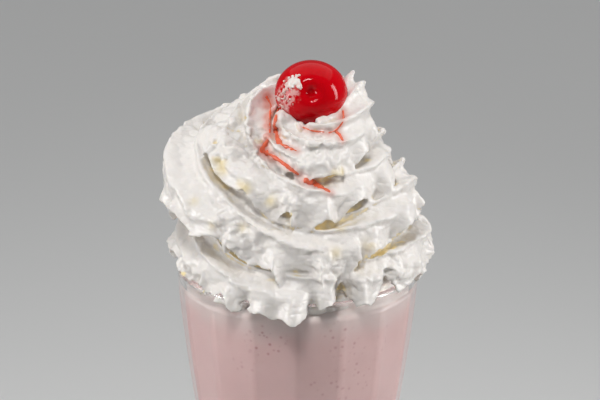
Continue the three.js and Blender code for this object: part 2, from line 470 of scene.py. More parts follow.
def pink_shake():
    """Opaque pale pink, mottled by foam, greyer in its froth and flecked with cherry."""
    material, graph = new_material("pink_shake")
    spot = object_place(graph)
    height = graph.node("ShaderNodeSeparateXYZ", None, {0: spot}).out("Z")
    cells = graph.node("ShaderNodeTexVoronoi", None, {"Vector": spot, "Scale": 1 / SPECK_SPACING})
    spread = graph.node("ShaderNodeTexNoise", None, {"Vector": spot, "Scale": 45.0, "Detail": 1.0})
    apart = distance_from(graph, spot, SPECK_CLUSTER)
    cluster = 1 - graph.smooth(apart, SPECK_CLUSTER_SPAN * 0.3, SPECK_CLUSTER_SPAN)
    spread = graph.math("MAXIMUM", 0.6 * graph.smooth(spread, 0.56, 0.68), cluster)
    specks = (1 - graph.smooth(cells, 0.08, 0.36)) * spread
    clouds = graph.node(
        "ShaderNodeTexNoise", None, {"Vector": spot, "Scale": 70.0, "Detail": 5.0, "Roughness": 0.6}
    )
    base = graph.node(
        "ShaderNodeMix",
        {"data_type": "RGBA"},
        {0: graph.smooth(clouds, 0.35, 0.7), 6: SHAKE_PINK, 7: SHAKE_ROSE},
    ).out("Result")
    froth = graph.smooth(height + (clouds - 0.5) * 0.012, SHAKE_TOP_Z - FROTH_DEPTH, SHAKE_TOP_Z)
    frothy = graph.node(
        "ShaderNodeMix", {"data_type": "RGBA"}, {0: froth * 0.8, 6: base, 7: SHAKE_FROTH}
    ).out("Result")
    flecked = graph.node(
        "ShaderNodeMix", {"data_type": "RGBA"}, {0: specks * 0.8, 6: frothy, 7: SHAKE_SPECK}
    ).out("Result")
    shader = graph.node(
        "ShaderNodeBsdfPrincipled",
        None,
        {
            "Base Color": flecked,
            "Roughness": 0.4,
            "Subsurface Weight": 0.15,
            "Subsurface Radius": (1.0, 0.6, 0.5),
            "Subsurface Scale": 2 * MM,
        },
    )
    close_material(graph, shader)
    return material


PINK_SHAKE = pink_shake()
outline, share = shake_outline()
shake = place("pink_milkshake", turned("shake", outline, share, PINK_SHAKE))
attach(shake, "root")
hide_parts("milkshake")


# Whipped cream
# Sweet cream from a star nozzle, laid in a coil of almost four turns that rises clockwise and
# leans to the right. Its outer edge spreads into a thin hem that ruffles. Geometry Nodes sweep
# the rope along the coil; a fine remesh then joins the turns as soft cream joins.

COIL = np.array(
    [
        # a quarter turn each, from the right: radius of the turn, height over the rim, rope radius
        [27, -1, 8],
        [28, 0, 8.5],
        [29, 2, 9],
        [30, 6, 9],
        [31.5, 10.5, 9.5],
        [30.5, 5.5, 9.5],
        [31.5, 9.5, 10.5],
        [28, 14, 11],
        [26, 25.5, 10.5],
        [26.5, 18.5, 9.5],
        [30.5, 33.5, 15],
        [23, 36, 15.5],
        [16.5, 39, 10],
        [20.5, 32.5, 9.5],
        [18, 45, 13.5],
        [11, 51, 13],
        [10, 52.5, 9],
        [15.5, 44.2, 9],
        [6, 46, 9],
    ],
    float,
)
COIL_START = -3
COIL_LEAN = 4.4 / 60
COIL_END = COIL_START + len(COIL) - 1
RINGS_PER_QUARTER = 60
POINTS_AROUND = 144
RIDGES = 8
RIDGE_ROOT = 0.72
RIDGE_TIP = 1.0
RIDGE_SHARPNESS = 2.5
RIDGE_WANDER = 0.8
RIDGE_TWIST = 0.8
HEM_ANGLE = math.radians(-32)
HEM_WANDER = math.radians(16)
HEM_FACE_SPAN = math.radians(36)
HEM_UNDER_SPAN = math.radians(10)
HEM_REACH = 4.6 * MM
HEM_THIN_SPAN = math.radians(5)
HEM_THIN_REACH = 2.8 * MM
HEM_TEAR_SIZE = 3.5 * MM
HEM_START = -0.3
ROUGH_PATCHES = [
    # where the cream is more crumpled than elsewhere, or smoother: place, reach and strength
    [(-20 * MM, -15 * MM, RIM_Z + 48 * MM), 15 * MM, 1.3],
    [(21 * MM, -12 * MM, RIM_Z + 44 * MM), 15 * MM, -1.2],
    [(38 * MM, -14 * MM, RIM_Z + 8 * MM), 16 * MM, -0.5],
    [(-4 * MM, -42 * MM, RIM_Z - 3 * MM), 18 * MM, -1.2],
]
CREASE_SIZE = 6 * MM
CREASE_DEPTH = 1.0 * MM
CREASE_STRETCH = (1, 1, 1.3)
GRAIN_SIZE = 1.8 * MM
GRAIN_HEIGHT = 0.9 * MM
HEM_LIFT = math.radians(32)
HEM_LIFT_AT = 10.75
HEM_LIFT_SPAN = 0.4
POCKET_ANGLE = math.radians(54)
POCKET_SPAN = math.radians(32)
POCKET_DEPTH = 3.4 * MM
STREAK_HEIGHT = 1.3 * MM
SWELL_SIZE = 14 * MM
SWELL_HEIGHT = 2.4 * MM
RUFFLE_LENGTH = 12 * MM
RUFFLE_ACROSS = 3.4 * MM
RUFFLE_ALONG = 1.4 * MM
RUFFLE_SPAN = math.radians(26)
PLEATS_AT = 1.05
PLEATS_SPAN = 0.3
PLEATS_PER_RUFFLE = 2.7
PLEAT_SHARE = 0.6
HEM_DROOP = 1.2 * MM
TAPER = 0.35
SEED = 3.0
LOBES = [
    # quarter turn, angle in the rope's section, reach, span in quarters, span of the angle
    [3.1, math.radians(-20), -2 * MM, 0.3, math.radians(30)],
    [2.62, math.radians(-34), -2.8 * MM, 0.22, math.radians(30)],
    [2.76, math.radians(-52), 3 * MM, 0.04, math.radians(14)],
    [2.44, math.radians(-40), -2.4 * MM, 0.06, math.radians(28)],
    [2.33, math.radians(-44), 0.8 * MM, 0.04, math.radians(20)],
    [2.26, math.radians(-36), -2.5 * MM, 0.022, math.radians(30)],
    [2.15, math.radians(-44), 2.2 * MM, 0.08, math.radians(24)],
    [2.01, math.radians(-46), 7.6 * MM, 0.045, math.radians(20)],
    [1.93, math.radians(-42), -5 * MM, 0.035, math.radians(30)],
    [1.84, math.radians(-42), -2.2 * MM, 0.04, math.radians(26)],
    [1.763, math.radians(-30), -9 * MM, 0.036, math.radians(45)],
    [1.655, math.radians(-42), 0.8 * MM, 0.07, math.radians(24)],
    [1.5, math.radians(-34), -5.5 * MM, 0.06, math.radians(40)],
    [5.83, math.radians(-38), 4 * MM, 0.1, math.radians(18)],
    [6.1, math.radians(-34), 2 * MM, 0.08, math.radians(16)],
    [7.0, math.radians(12), 3 * MM, 0.45, math.radians(34)],
    [7.0, math.radians(-36), -2.5 * MM, 0.3, math.radians(16)],
    [7.25, math.radians(62), -2.8 * MM, 0.3, math.radians(26)],
    [13.0, math.radians(48), 4.5 * MM, 0.27, math.radians(34)],
    [5.0, math.radians(45), 4 * MM, 0.4, math.radians(26)],
    [1.0, math.radians(-20), 1.5 * MM, 0.35, math.radians(40)],
]
CHERRY_RADIUS = 11.7 * MM
CHERRY_FLATNESS = 0.9
CHERRY_AT = Vector((4 * MM, -4 * MM, RIM_Z + 59 * MM))
VIEW_ELEVATION = math.radians(20)
VIEW_RIGHT = Vector((1, 0, 0))
VIEW_BACK = Vector((0, -math.cos(VIEW_ELEVATION), math.sin(VIEW_ELEVATION)))
VIEW_UP = VIEW_BACK.cross(VIEW_RIGHT)
CREAM_WHITE = (0.845, 0.805, 0.765, 1)
# painted shade: the grey that the cream takes where it is shut in
CREAM_SHADED = (0.52, 0.50, 0.485, 1)
# painted light: a yellow tint where light would soak through thin cream in creases and hollows
CREAM_PAINTED_LIGHT = (0.78, 0.64, 0.34, 1)
# painted glowing light that the deep creases give off, grey, and yellow where the painted light lies
CREAM_PAINTED_GLOW = (0.02, 0.018, 0.014, 1)
CREAM_PAINTED_WARM_GLOW = (0.20, 0.16, 0.075, 1)
CREAM_STAIN = (0.66, 0.25, 0.19, 1)
WRINKLE_SIZE = 6 * MM
WRINKLE_STRETCH = (1, 1, 2)
WRINKLE_HEIGHT = 1.1
CREASE_REACH = 8 * MM
CREASE_RAYS = 10
STAIN_REACH = 1.4 * MM
PLUG_RADIUS = 33 * MM
DABS = [
    # cream pressed up round the cherry, from its centre: right, up, towards the viewer, radius
    [-9.0, -9.0, 4.5, 3.4],
    [-6.0, -11.0, 5.0, 2.8],
    [3.6, -9.6, 6.6, 2.5],
    [6.6, -8.6, 5.4, 2.2],
    [-2.4, -11.4, 4.5, 1.8],
    [0.4, -11.2, 5.4, 1.2],
    [-4.6, -10.2, 6.4, 1.3],
    # a thin peak behind it on the right
    [11.0, 0.4, -3.5, 3.2],
    [11.6, 2.4, -3.5, 2.5],
    [12.1, 4.0, -3.5, 1.9],
    [12.5, 5.3, -3.4, 1.4],
    [13.0, 6.3, -3.3, 1.05],
    [13.6, 7.1, -3.2, 0.8],
    # cream that closes the gaps between the turns at the front
    [-8.8, -39.9, 9.8, 3.4],
    [17.2, -35.7, 2.4, 3.4],
    [-7.1, -26.2, 7.4, 2.5],
    [16.5, -21.6, -2.5, 2.8],
]
CREAM_CLEARANCE = 0.05 * MM
CREAM_VOXEL = 0.5 * MM
CREAM_TRIANGLES = 195000


def rope_graph():
    """Sweeps the rope of cream round a path of ring centres. Each ring lies in the upright half
    plane through the axis and its centre, so the rope never folds over itself."""
    inputs = {
        "Geometry": "Geometry",
        "Points around": "Int",
        "Rings per quarter": "Int",
        "Ridges": "Int",
        "Ruffle length": "Float",
        "Ruffle across": "Float",
        "Hem reach": "Float",
        "Lean": "Float",
        "Seed": "Float",
        "Material": "Material",
    }
    graph, keys, given = new_shape_graph("cream_rope", inputs)
    math_node = graph.math
    count = graph.node(
        "GeometryNodeAttributeDomainSize", {"component": "CURVE"}, {"Geometry": given["Geometry"]}
    )
    columns = given["Points around"] + 1
    grid = graph.node("GeometryNodeMeshGrid", None, {"Vertices X": count, "Vertices Y": columns})
    index = graph.node("GeometryNodeInputIndex")
    ring = math_node("FLOOR", (index + 0.5) / columns)
    u = (index - ring * columns) / given["Points around"]

    def of_ring(value, kind):
        sockets = {"Geometry": given["Geometry"], "Index": ring, "Value": value}
        return graph.node("GeometryNodeSampleIndex", {"data_type": kind}, sockets)

    centre = of_ring(graph.node("GeometryNodeInputPosition"), "FLOAT_VECTOR")
    rope = of_ring(graph.node("GeometryNodeInputRadius"), "FLOAT")
    length = of_ring(graph.node("GeometryNodeSplineParameter").out("Length"), "FLOAT")
    at = graph.node("ShaderNodeSeparateXYZ", None, {0: centre})
    flat = graph.node("ShaderNodeVectorMath", {"operation": "MULTIPLY"}, {0: centre, 1: (1, 1, 0)})
    turn = graph.node("ShaderNodeVectorMath", {"operation": "LENGTH"}, {0: flat}).out("Value")
    quarter = ring / given["Rings per quarter"] + COIL_START

    def drift(scale, shift):
        """Slow noise along the coil, about -1 to 1."""
        sockets = {"W": length * scale + given["Seed"] + shift, "Scale": 1.0, "Detail": 1.0}
        cloud = graph.node("ShaderNodeTexNoise", {"noise_dimensions": "1D"}, sockets)
        return (cloud - 0.5) * 2.6

    def near(distance, span):
        share = distance / span
        return math_node("EXPONENT", -(share * share))

    ridge_turn = u * given["Ridges"] * (2 * math.pi) + RIDGE_WANDER * drift(35.0, 27.0)
    crest = (0.5 + 0.5 * math_node("COSINE", ridge_turn)) ** RIDGE_SHARPNESS
    angle = u * (2 * math.pi) + (quarter - 1) * (RIDGE_TWIST * math.pi / 2)
    angle = math_node("WRAP", angle, math.pi, -math.pi)
    calm = near(quarter - 2.0, 0.7) + near(quarter - 13.6, 0.5)
    rough = 1 - 0.8 * calm
    lift = HEM_LIFT * near(quarter - HEM_LIFT_AT, HEM_LIFT_SPAN)
    hem_angle = HEM_ANGLE + lift + HEM_WANDER * drift(28.0, 0.0) * (1 - calm)
    off_hem = math_node("WRAP", angle - hem_angle, math.pi, -math.pi)
    above = math_node("GREATER_THAN", off_hem, 0.0)
    face = near(off_hem, HEM_UNDER_SPAN + above * (HEM_FACE_SPAN - HEM_UNDER_SPAN))
    thin = near(off_hem, HEM_THIN_SPAN)
    folds = near(off_hem, HEM_UNDER_SPAN + above * (RUFFLE_SPAN - HEM_UNDER_SPAN))
    outer = length * (1.35 * 2 * math.pi) / given["Ruffle length"]
    wave = math_node("SINE", outer + 1.8 * drift(60.0, 7.0))
    pleats = math_node("SINE", outer * PLEATS_PER_RUFFLE + 1.5 * drift(90.0, 41.0))
    wave = wave + PLEAT_SHARE * near(quarter - PLEATS_AT, PLEATS_SPAN) * pleats
    side_wave = math_node("COSINE", outer * 0.83 + 1.4 * drift(45.0, 11.0))
    strength = math_node("MAXIMUM", 0.9 + 0.5 * drift(70.0, 3.0), 0.4) * (1 - 0.5 * calm)
    reach = math_node("MAXIMUM", 0.95 + 0.45 * drift(50.0, 19.0) * (1 - calm), 0.55)
    reach = reach * (0.15 + 0.85 * graph.smooth(quarter, HEM_START, HEM_START + 1.1))

    pocket = near(math_node("WRAP", angle - POCKET_ANGLE, math.pi, -math.pi), POCKET_SPAN)
    pocket = pocket * graph.smooth(COIL_END - 1.5 - quarter, 0.0, 1.0)
    pocket = pocket * (1 - near(quarter - 7.2, 0.6))
    streak_place = graph.node(
        "ShaderNodeCombineXYZ",
        None,
        {
            "X": length / (30 * MM),
            "Y": rope * math_node("COSINE", angle) / (3.2 * MM),
            "Z": rope * math_node("SINE", angle) / (3.2 * MM),
        },
    )
    streaks = graph.node("ShaderNodeTexNoise", None, {"Vector": streak_place, "Scale": 1.0})
    swell_place = graph.node(
        "ShaderNodeCombineXYZ",
        None,
        {
            "X": length / SWELL_SIZE,
            "Y": rope * math_node("COSINE", angle) / SWELL_SIZE,
            "Z": rope * math_node("SINE", angle) / SWELL_SIZE,
        },
    )
    swells = graph.node("ShaderNodeTexNoise", None, {"Vector": swell_place, "Scale": 1.0})
    radius = rope * (RIDGE_ROOT + (RIDGE_TIP - RIDGE_ROOT) * crest * (1 - face * 0.7))
    radius = radius - POCKET_DEPTH * pocket
    radius = radius + rough * (STREAK_HEIGHT * (streaks - 0.5) + SWELL_HEIGHT * (swells - 0.5))
    radius = radius + given["Hem reach"] * face * reach
    tear = graph.node(
        "ShaderNodeTexNoise",
        {"noise_dimensions": "1D"},
        {"W": length / HEM_TEAR_SIZE, "Scale": 1.0, "Detail": 2.0},
    )
    uneven = rough * (0.3 * side_wave + 0.3 * (tear - 0.3))
    radius = radius + HEM_THIN_REACH * thin * reach * (0.8 + uneven)
    for at_quarter, toward, lobe_reach, span, angle_span in LOBES:
        off = math_node("WRAP", angle - toward, math.pi, -math.pi)
        radius = radius + lobe_reach * near(quarter - at_quarter, span) * near(off, angle_span)
    angle = angle + given["Ruffle across"] * folds * strength * wave / radius
    ends = graph.smooth(quarter - COIL_START, 0.0, TAPER) * graph.smooth(COIL_END - quarter, 0.0, TAPER)
    radius = radius * ends
    out = math_node("MAXIMUM", turn + radius * math_node("COSINE", angle), 0.4 * MM)
    up = at.out("Z") + radius * math_node("SINE", angle) - HEM_DROOP * thin * ends
    along = math_node("ARCTAN2", -at.out("Y"), at)
    along = along + RUFFLE_ALONG * folds * strength * side_wave / math_node("MAXIMUM", turn, 12 * MM)
    spot = graph.node(
        "ShaderNodeCombineXYZ",
        None,
        {
            "X": out * math_node("COSINE", along) + up * given["Lean"],
            "Y": -(out * math_node("SINE", along)),
            "Z": up + RIM_Z,
        },
    )
    swept = graph.node(
        "GeometryNodeSetPosition", None, {"Geometry": grid.out("Mesh"), "Position": spot}
    )
    welded = graph.node("GeometryNodeMergeByDistance", None, {"Geometry": swept, "Distance": 1e-5})
    end_shape_graph(graph, welded, given["Material"])
    return graph, keys


def lumps_graph():
    """Gives the joined cream its small lumps, creases and burst bubbles."""
    inputs = {
        "Geometry": "Geometry",
        "Crease size": "Float",
        "Crease depth": "Float",
        "Grain size": "Float",
        "Grain height": "Float",
        "Seed": "Float",
        "Material": "Material",
    }
    graph, keys, given = new_shape_graph("cream_lumps", inputs)
    spot = graph.node("GeometryNodeInputPosition")

    flat = graph.node("ShaderNodeVectorMath", {"operation": "MULTIPLY"}, {0: spot, 1: CREASE_STRETCH})

    def cloud(size, shift, detail, where=spot):
        sockets = {"Vector": where, "W": given["Seed"] + shift, "Scale": 1 / size, "Detail": detail}
        return graph.node("ShaderNodeTexNoise", {"noise_dimensions": "4D"}, sockets) - 0.5

    creases = graph.math("ABSOLUTE", cloud(given["Crease size"] * 1.0, 0.0, 1.5, flat))
    patches = graph.smooth(cloud(given["Crease size"] * 3.0, 5.0, 0.0), -0.08, 0.12)
    for place_at, reach, strength in ROUGH_PATCHES:
        apart = distance_from(graph, spot, place_at)
        patches = patches + strength * (1 - graph.smooth(apart, reach * 0.4, reach))
    patches = graph.math("MAXIMUM", patches, -0.35)
    rise = given["Crease depth"] * (creases * 6 - 0.6) * (0.35 + 0.65 * patches)
    rise = rise + given["Grain height"] * cloud(given["Grain size"] * 1.0, 9.0, 2.0) * (0.4 + patches)
    push = graph.node(
        "ShaderNodeVectorMath",
        {"operation": "SCALE"},
        {0: graph.node("GeometryNodeInputNormal"), "Scale": rise},
    )
    moved = graph.node(
        "GeometryNodeSetPosition", None, {"Geometry": given["Geometry"], "Offset": push}
    )
    end_shape_graph(graph, moved, given["Material"])
    return graph, keys


def cream_path():
    """The centres of the rope's rings before the coil leans, and the rope's radius at each."""
    quarters = np.arange((len(COIL) - 1) * RINGS_PER_QUARTER + 1) / RINGS_PER_QUARTER
    turn, rise, rope = spline_rows(COIL * MM, quarters).T
    along = (quarters + COIL_START - 1) * math.pi / 2
    points = np.column_stack([turn * np.cos(along), -turn * np.sin(along), rise])
    return path_object("cream_path", points, rope)


def whipped():
    """White cream, pink beside the syrup, with painted shade that greys it where it is shut in, and painted
    light, yellowish and faintly glowing, in its deep creases and hollows where light would soak through.
    """
    material, graph = new_material("whipped_white")
    spot = object_place(graph)
    crease = graph.node("ShaderNodeAttribute", {"attribute_name": "crease"}).out("Fac")
    syrup = graph.node("ShaderNodeAttribute", {"attribute_name": "syrup"}).out("Fac")
    patches = graph.node("ShaderNodeTexNoise", None, {"Vector": spot, "Scale": 150.0, "Detail": 2.0})
    grain = graph.node("ShaderNodeTexNoise", None, {"Vector": spot, "Scale": 900.0, "Detail": 3.0})
    flat = graph.node("ShaderNodeVectorMath", {"operation": "MULTIPLY"}, {0: spot, 1: WRINKLE_STRETCH})
    wrinkles = graph.node(
        "ShaderNodeTexNoise", None, {"Vector": flat, "Scale": 1 / WRINKLE_SIZE, "Detail": 1.0}
    )
    wrinkles = graph.math("ABSOLUTE", wrinkles - 0.5)
    # painted light: yellow in deep creases, in patches, and at the given hollows, where light would soak
    # through
    warmth = graph.node("ShaderNodeAttribute", {"attribute_name": "warmth"}).out("Fac")
    painted_light_share = graph.smooth(crease, 0.3, 0.7) * graph.smooth(patches, 0.47, 0.62)
    painted_light_share = graph.math("MAXIMUM", painted_light_share, warmth * graph.smooth(patches, 0.3, 0.45))
    # painted shade: greyer where the cream is shut in, in creases and hollows
    shade = 0.5 * graph.smooth(crease, 0.1, 0.75)
    white = graph.node(
        "ShaderNodeMix", {"data_type": "RGBA"}, {0: shade, 6: CREAM_WHITE, 7: CREAM_SHADED}
    ).out("Result")
    mixed = graph.node(
        "ShaderNodeMix", {"data_type": "RGBA"}, {0: painted_light_share * 0.85, 6: white, 7: CREAM_PAINTED_LIGHT}
    ).out("Result")
    stained = graph.node(
        "ShaderNodeMix", {"data_type": "RGBA"}, {0: syrup, 6: mixed, 7: CREAM_STAIN}
    ).out("Result")
    height = 0.15 * grain + WRINKLE_HEIGHT * wrinkles
    bump = graph.node("ShaderNodeBump", None, {"Strength": 0.8, "Distance": MM, "Height": height})
    # painted glowing light: the deep creases give off faint light, yellow where the painted light lies
    through = graph.node(
        "ShaderNodeMix", {"data_type": "RGBA"}, {0: painted_light_share, 6: CREAM_PAINTED_GLOW, 7: CREAM_PAINTED_WARM_GLOW}
    ).out("Result")
    shut = graph.smooth(crease, 0.35, 1.0)
    painted_glow = graph.node(
        "ShaderNodeMix", {"data_type": "RGBA"}, {0: shut, 6: (0, 0, 0, 1), 7: through}
    ).out("Result")
    shader = graph.node(
        "ShaderNodeBsdfPrincipled",
        None,
        {
            "Base Color": stained,
            "Roughness": 0.26 + 0.16 * grain,
            "Normal": bump,
            "Subsurface Weight": 0.1,
            "Subsurface Radius": (1.0, 0.8, 0.55),
            "Subsurface Scale": 0.9 * MM,
            "Emission Color": painted_glow,
            "Emission Strength": 1.0,
        },
    )
    close_material(graph, shader)
    return material


def core_outline():
    """The solid middle of the mound, and the cream on the shake under it."""
    rows = [
        [0, SHAKE_TOP_Z - 1 * MM],
        [PLUG_RADIUS, SHAKE_TOP_Z - 1 * MM],
        [PLUG_RADIUS, RIM_Z],
        [31.5 * MM, RIM_Z + 8 * MM],
        [27.5 * MM, RIM_Z + 22 * MM],
        [16.5 * MM, RIM_Z + 38 * MM],
        [8.5 * MM, RIM_Z + 47 * MM],
        [0, RIM_Z + 50 * MM],
    ]
    return np.array(rows)


def collar_outline():
    """What the glass and the shake take out of the cream."""
    low = RIM_Z - 30 * MM
    outside_z = np.linspace(low, RIM_Z - 1 * MM, 16)
    outside = np.column_stack([bowl_radius(outside_z) + CREAM_CLEARANCE, outside_z])
    lip = [[RIM_RADIUS - WALL / 2, RIM_Z + CREAM_CLEARANCE]]
    inside_z = np.linspace(RIM_Z - 1 * MM, SHAKE_TOP_Z, 4)
    inside = np.column_stack([bowl_radius(inside_z) - WALL - CREAM_CLEARANCE, inside_z])
    return np.vstack([[[0, low]], outside, lip, inside, [[0, SHAKE_TOP_Z]]])


def dab(number, row):
    """A ball of cream beside the cherry."""
    right, up, forward, radius = (value * MM for value in row)
    bm = bmesh.new()
    bmesh.ops.create_icosphere(bm, subdivisions=3, radius=radius)
    centre = CHERRY_AT + right * VIEW_RIGHT + up * VIEW_UP + forward * VIEW_BACK
    bmesh.ops.translate(bm, vec=centre, verts=bm.verts)
    mesh = bpy.data.meshes.new("dab")
    bm.to_mesh(mesh)
    bm.free()
    return place(f"cream_dab_{number}", mesh)


def fill_attribute(mesh, name, values):
    """Stores a number for each point of a mesh."""
    mesh.attributes.new(name, "FLOAT", "POINT").data.foreach_set("value", np.asarray(values, float))


def surface_tree(mesh):
    """A mesh for casting rays at."""
    mesh.calc_loop_triangles()
    points = [v.co.copy() for v in mesh.vertices]
    return BVHTree.FromPolygons(points, [t.vertices[:] for t in mesh.loop_triangles])


def crease_depths(mesh, tree):
    """How shut in each point is, from 0 in the open to 1 in a deep crease."""
    random = np.random.default_rng(5)
    rays = random.normal(size=(CREASE_RAYS, 3))
    rays /= np.linalg.norm(rays, axis=1)[:, None]
    rays = [Vector(ray) for ray in rays]
    depths = np.zeros(len(mesh.vertices))
    for vertex in mesh.vertices:
        start = vertex.co + vertex.normal * (0.2 * MM)
        for ray in rays:
            aim = ray + vertex.normal * 1.05
            if tree.ray_cast(start, aim, CREASE_REACH)[0] is not None:
                depths[vertex.index] += 1
    return depths / CREASE_RAYS


WHIPPED = whipped()
ROPE, ROPE_KEYS = rope_graph()
path = cream_path()
rope_values = {
    "Points around": POINTS_AROUND,
    "Rings per quarter": RINGS_PER_QUARTER,
    "Ridges": RIDGES,
    "Ruffle length": RUFFLE_LENGTH,
    "Ruffle across": RUFFLE_ACROSS,
    "Hem reach": HEM_REACH,
    "Lean": COIL_LEAN,
    "Seed": SEED,
    "Material": WHIPPED,
}
rope = place("cream_rope", grow(path, ROPE, ROPE_KEYS, rope_values))
discard(path)
outline = core_outline()
core = place("cream_core", turned("core", outline, np.zeros(len(outline)), WHIPPED))


def joined(name, pieces):
    """One mesh object from several, which are removed."""
    for piece in bpy.context.selected_objects:
        piece.select_set(False)
    for piece in pieces:
        piece.select_set(True)
    bpy.context.view_layer.objects.active = pieces[0]
    bpy.ops.object.join()
    pieces[0].name = name
    return pieces[0]


dabs = [dab(number, row) for number, row in enumerate(DABS)]
outline = collar_outline()
collar = place("cream_collar", turned("collar", outline, np.zeros(len(outline)), WHIPPED))
raw = joined("cream_raw", [rope, core, *dabs])
remesh = raw.modifiers.new("remesh", "REMESH")
remesh.mode = "VOXEL"
remesh.voxel_size = CREAM_VOXEL
soften = raw.modifiers.new("soften", "SMOOTH")
soften.factor = 0.5
soften.iterations = 1
LUMPS, LUMPS_KEYS = lumps_graph()
lump_values = {
    "Crease size": CREASE_SIZE,
    "Crease depth": CREASE_DEPTH,
    "Grain size": GRAIN_SIZE,
    "Grain height": GRAIN_HEIGHT,
    "Seed": SEED,
    "Material": WHIPPED,
}
lumpy = place("cream_lumpy", grow(raw, LUMPS, LUMPS_KEYS, lump_values))
discard(raw)
cut = lumpy.modifiers.new("cut", "BOOLEAN")
cut.operation = "DIFFERENCE"
cut.solver = "MANIFOLD"
cut.object = collar
thinned = lumpy.modifiers.new("thinned", "DECIMATE")
thinned.ratio = CREAM_TRIANGLES / sum(len(p.vertices) - 2 for p in lumpy.data.polygons)
cream = place("piped_cream", baked_mesh(lumpy))
discard(lumpy)
discard(collar)
paint(cream.data, WHIPPED)
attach(cream, "root")
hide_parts("whipped_cream")


# Cherry
# A preserved cherry in syrup: a little wider than tall, glossy and clear red, its stem pit turned
# to the front. It is a sphere whose radius falls away into the pit.

CHERRY_BRIGHT = (0.64, 0.0, 0.006, 1)
CHERRY_DEEP = (0.46, 0.0, 0.003, 1)
CHERRY_FILM = (0.80, 0.48, 0.45, 1)
CHERRY_FILM_SHARE = 0.75
PIT_TILT = math.radians(70)
PIT_DEPTH = 1.3 * MM
PIT_SPAN = 0.17
PIT_BROW = 0.3 * MM
PIT_BROW_AT = 0.38
DISH_DEPTH = 1.5 * MM
DISH_SPAN = 0.34


def cherry_red():
    """Clear red flesh under a skin of syrup, a little darker in patches, with a film of cream."""
    material, graph = new_material("cherry_red")
    spot = object_place(graph)
    mottle = graph.node("ShaderNodeTexNoise", None, {"Vector": spot, "Scale": 180.0, "Detail": 3.0})
    streaks = graph.node("ShaderNodeTexNoise", None, {"Vector": spot, "Scale": 620.0, "Detail": 3.0})
    film = graph.node("ShaderNodeAttribute", {"attribute_name": "film"}).out("Fac")
    film = graph.smooth(film * 0.7 + (streaks - 0.5) * 4.0 * film, 0.25, 1.1) * CHERRY_FILM_SHARE
    flesh = graph.node(
        "ShaderNodeMix", {"data_type": "RGBA"}, {0: mottle, 6: CHERRY_BRIGHT, 7: CHERRY_DEEP}
    ).out("Result")
    skin = graph.node(
        "ShaderNodeMix", {"data_type": "RGBA"}, {0: film, 6: flesh, 7: CHERRY_FILM}
    ).out("Result")
    shader = graph.node(
        "ShaderNodeBsdfPrincipled",
        None,
        {
            "Base Color": skin,
            "Roughness": 0.05 + 0.05 * mottle + 0.2 * film,
            "Specular IOR Level": 0.16,
            "Subsurface Weight": 0.25,
            "Subsurface Radius": (1.0, 0.15, 0.08),
            "Subsurface Scale": 3 * MM,
        },
    )
    close_material(graph, shader)
    return material


def cherry_outline():
    """Half a section of the cherry with its pit upwards, as radius and height."""
    away = np.linspace(0, math.pi, 120)
    dish = DISH_DEPTH * np.exp(-((away / DISH_SPAN) ** 2))
    pit = PIT_DEPTH * np.exp(-((away / PIT_SPAN) ** 2))
    brow = PIT_BROW * np.exp(-(((away - PIT_BROW_AT) / PIT_SPAN) ** 2))
    radius = CHERRY_RADIUS - dish - pit + brow
    outline = np.column_stack([radius * np.sin(away), radius * np.cos(away)])
    outline[[0, -1], 0] = 0
    return outline[::-1]


CHERRY_RED = cherry_red()
outline = cherry_outline()
cherry = place("glossy_cherry", turned("cherry", outline, np.zeros(len(outline)), CHERRY_RED))
cherry.data.transform(
    Matrix.Translation(CHERRY_AT)
    @ Matrix.Diagonal((1, 1, CHERRY_FLATNESS, 1))
    @ Matrix.Rotation(PIT_TILT, 4, "X")
)
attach(cherry, "root")
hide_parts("cherry")


# Froth on the cherry
# A smear of broken cream that the cherry picked up on its left when it was set down. Geometry
# Nodes scatter blobs of many sizes over the spots, and a remesh runs them together.

FROTH_SPOTS = [
    # on the photo's frame: pixels right and down, spread in pixels, number of blobs
    [294, 80, 2.6, 60],
    [290, 85, 2.6, 40],
    [299, 86, 1.8, 20],
    [283, 92, 2.6, 20],
    [279, 98, 2.4, 16],
    [286, 101, 2.6, 8],
    [281, 106, 2.0, 12],
]
FROTH_BLOB = 0.42 * MM
FROTH_STAIN = 0.6
FROTH_THICKEST = (295, 81)
FROTH_THICK_REACH = 3.4 * MM
FROTH_PATCH = 1.2 * MM
FROTH_VOXEL = 0.2 * MM
FILM_SPOTS = [
    # on the photo's frame: pixels right and down, and reach in pixels
    [291, 84, 10],
    [283, 95, 12],
    [285, 104, 9],
    [296, 95, 6],
]
VIEW_DISTANCE = 0.7
FRAME_WIDTH = 197.1 * MM
CAMERA_ROLL = math.radians(0.3)
LOOK_AT = Vector((0.6 * MM, 0, RIM_Z + 21.0 * MM))
VIEWPOINT = LOOK_AT + VIEW_DISTANCE * VIEW_BACK


def sight_line(x, y):
    """The direction from the viewpoint through a pixel of the photo's 600 by 400 frame."""
    right = (x - 300) / 600 * FRAME_WIDTH
    up = (200 - y) / 600 * FRAME_WIDTH
    cos, sin = math.cos(CAMERA_ROLL), math.sin(CAMERA_ROLL)
    across = VIEW_RIGHT * (right * cos - up * sin) + VIEW_UP * (right * sin + up * cos)
    return (across - VIEW_BACK * VIEW_DISTANCE).normalized()


